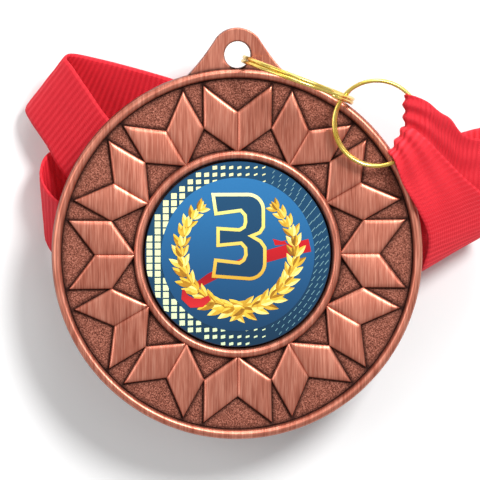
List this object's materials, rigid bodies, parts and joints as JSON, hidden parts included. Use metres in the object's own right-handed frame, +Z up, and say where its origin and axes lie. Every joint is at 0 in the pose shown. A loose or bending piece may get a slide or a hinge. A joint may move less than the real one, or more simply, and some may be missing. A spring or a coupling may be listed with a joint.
{
  "type": "award medal on a ribbon",
  "caption": "Round cast medal with a raised star of rhombi, a printed centre emblem and an eyelet, linked by split rings to a folded neck ribbon",
  "frame": {"origin": "the middle of the whole, on the surface it lies on", "axes": "+Z up, out of the medal's face; +Y towards the medal's eyelet; +X right"},
  "size_m": [0.0663, 0.0554, 0.0206],
  "materials": {
    "antique_copper": "antique copper plate, brushed on the high faces, dark patina in the grooves",
    "printed_emblem": "printed plastic, gloss",
    "adhesive": "double-sided adhesive pad",
    "gold_ring": "polished gold-coloured plate",
    "red_ribbon": "ribbed grosgrain weave",
    "thread": "polyester sewing thread"
  },
  "bodies": {
    "ribbon": {"ribbon_gather": "red_ribbon", "ribbon_stitching": "thread", "ribbon_hank": "red_ribbon", "ribbon_right_loop": "red_ribbon", "ribbon_lower_left_loop": "red_ribbon", "ribbon_hidden_turn": "red_ribbon", "ribbon_upper_left_loop": "red_ribbon", "ribbon_crossing_run": "red_ribbon", "ribbon_upper_right_leg": "red_ribbon"},
    "medal": {"medal_body": "antique_copper", "emblem_adhesive": "adhesive", "emblem_plate": "printed_emblem"},
    "link_ring": {"link_ring": "gold_ring"},
    "ribbon_ring": {"ribbon_ring": "gold_ring"}
  },
  "joints": [
    {"name": "medal_swing", "type": "hinge", "parent": "ribbon", "child": "medal", "pos_m": [-0.00474, 0.0241, 0.0115], "axis": [0, 0, -1], "range_deg": [0, 220]},
    {"name": "link_ring_turn", "type": "hinge", "parent": "ribbon", "child": "link_ring", "pos_m": [0.00334, 0.02073, 0.0125], "axis": [0.3584, 0.9336, 0], "continuous": true},
    {"name": "ribbon_ring_turn", "type": "hinge", "parent": "ribbon", "child": "ribbon_ring", "pos_m": [0.01396, 0.01497, 0.0142], "axis": [0, 0, 1], "continuous": true}
  ]
}
